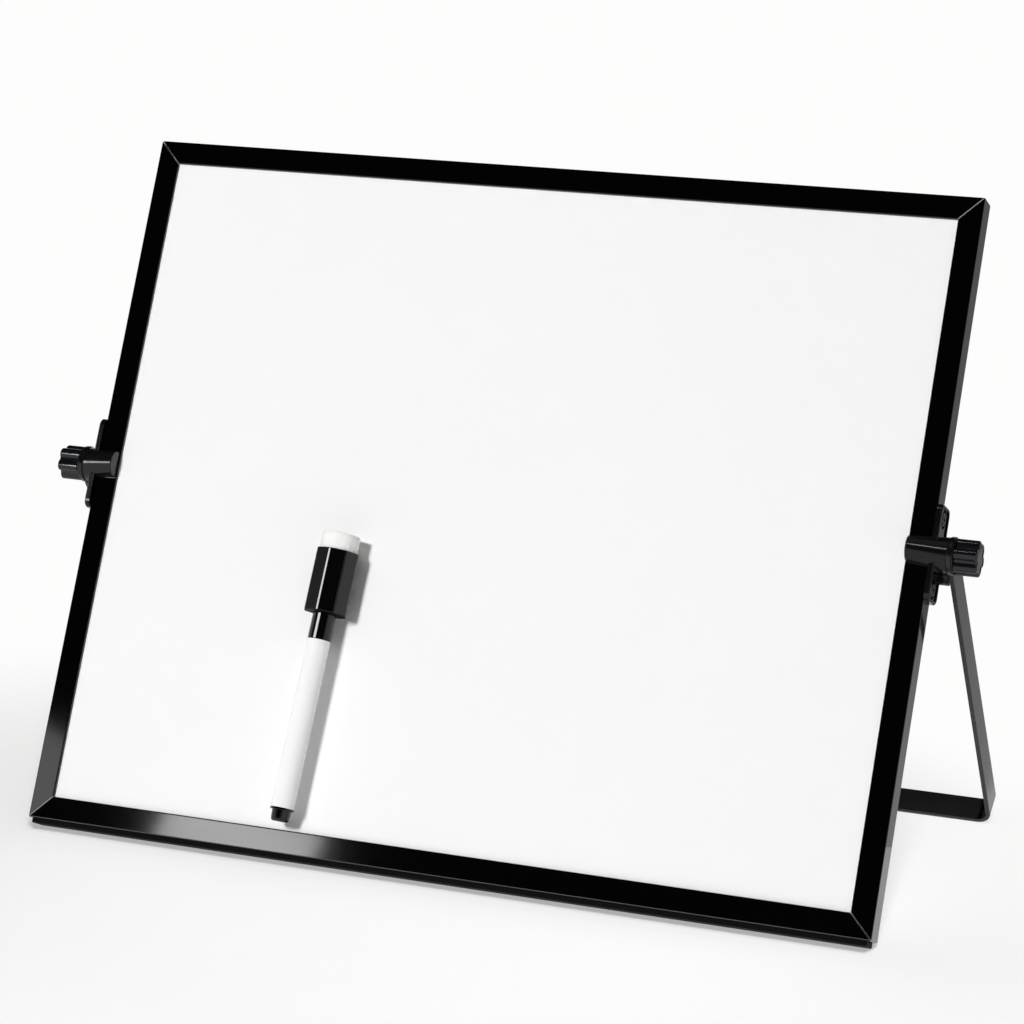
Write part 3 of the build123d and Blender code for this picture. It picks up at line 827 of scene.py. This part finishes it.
def softbox(name, place, size, power, in_gloss, lit, target):
    """Rectangular lamp turned towards a point. It may light one group of objects only."""
    lamp = bpy.data.lights.new(name, "AREA")
    lamp.shape = "RECTANGLE"
    lamp.size, lamp.size_y = size
    lamp.energy = power
    obj = bpy.data.objects.new(name, lamp)
    bpy.context.scene.collection.objects.link(obj)
    obj.location = place
    obj.rotation_euler = (target - Vector(place)).to_track_quat("-Z", "Y").to_euler()
    obj.visible_glossy = in_gloss
    if lit:
        obj.light_linking.receiver_collection = lit


def group_of(name, members):
    group = bpy.data.collections.new(name)
    for member in members:
        group.objects.link(member)
    return group


def on_board(x, y, z):
    return BOARD @ Vector((x, y, z))


everything = bpy.context.scene.objects
pieces = [obj for obj in everything if obj.type == "MESH" and obj.name not in ("floor", "grey_card")]
fittings = [obj for obj in pieces if "bracket" in obj.name or "fluted" in obj.name]
FLOOR_ONLY = group_of("floor only", [floor])
OBJECT_ONLY = group_of("object only", pieces)
LEFT_RAIL = group_of("left rail", [bpy.data.objects["left_rail_sawn"]])
BOTTOM_RAIL = group_of("bottom rail", [bpy.data.objects["bottom_rail_sawn"]])
CAP = group_of("cap", [bpy.data.objects["cap_shell"]])
FITTINGS = group_of("brackets and knobs", fittings)

# Name, place, size in metres, watts, whether gloss shows it, what it lights, what it is turned to
LAMPS = [
    ("overhead softbox", (0.12, -0.15, 1.9), (1.3, 1.3), 1.5, True, None, PIVOT),
    ("front softbox", on_board(-0.55, -2.4, 0.155), (0.40, 0.40), 48, False, OBJECT_ONLY, PIVOT),
    ("back softbox", (0.25, 2.3, 0.35), (0.6, 0.6), 27, False, OBJECT_ONLY, PIVOT),
    ("floor softbox", (0.8, -0.6, 1.7), (1.1, 1.1), 7, False, FLOOR_ONLY, PIVOT),
    ("floor key", (0.62, -1.3, 1.5), (0.45, 0.45), 37, False, FLOOR_ONLY, PIVOT),
    ("bottom rail strip", on_board(-0.6255, -1.2, -0.045), (0.117, 0.06), 0.215, True, BOTTOM_RAIL, PIVOT),
    ("left rail strip", on_board(-0.795, -1.2, -0.0335), (0.10, 0.093), 0.062, True, LEFT_RAIL, PIVOT),
    ("low strip", (-0.6, -1.5, 0.17), (1.2, 0.3), 8, True, BOTTOM_RAIL, PIVOT),
    ("tall softbox", (-0.74, -1.12, 0.60), (0.14, 0.5), 6, True, FITTINGS, PIVOT),
    ("left window", (-1.27, -0.50, 0.45), (0.20, 0.16), 1.4, True, FITTINGS, PIVOT),
    ("right window", (0.56, -0.62, 1.15), (0.07, 0.07), 0.5, True, FITTINGS, PIVOT),
    ("top glint", (-0.10, -0.33, 1.28), (0.06, 0.03), 0.2, True, FITTINGS, PIVOT),
    ("cap strip", on_board(-0.383, -0.6, 0.042), (0.288, 0.14), 2.6, True, CAP, middle("marker_cap")),
]
for lamp in LAMPS:
    softbox(*lamp)

CAMERA_PLACE = PIVOT + Vector((0.4740, -1.19075, 0.36085))
CAMERA_DOWN = 15.79           # degrees below level
CAMERA_LEFT = 21.50           # degrees to the left of straight ahead
FOCAL_PIXELS = 3458.6
PICTURE_PIXELS = 1024
SENSOR = 36.0                 # mm
camera = bpy.data.cameras.new("camera")
camera.sensor_width = SENSOR
camera.lens = FOCAL_PIXELS / PICTURE_PIXELS * SENSOR
viewer = bpy.data.objects.new("camera", camera)
viewer.location = CAMERA_PLACE
viewer.rotation_euler = Euler((radians(90 - CAMERA_DOWN), 0, radians(CAMERA_LEFT)))
bpy.context.scene.collection.objects.link(viewer)
bpy.context.scene.camera = viewer
bpy.context.scene.view_settings.view_transform = "Standard"
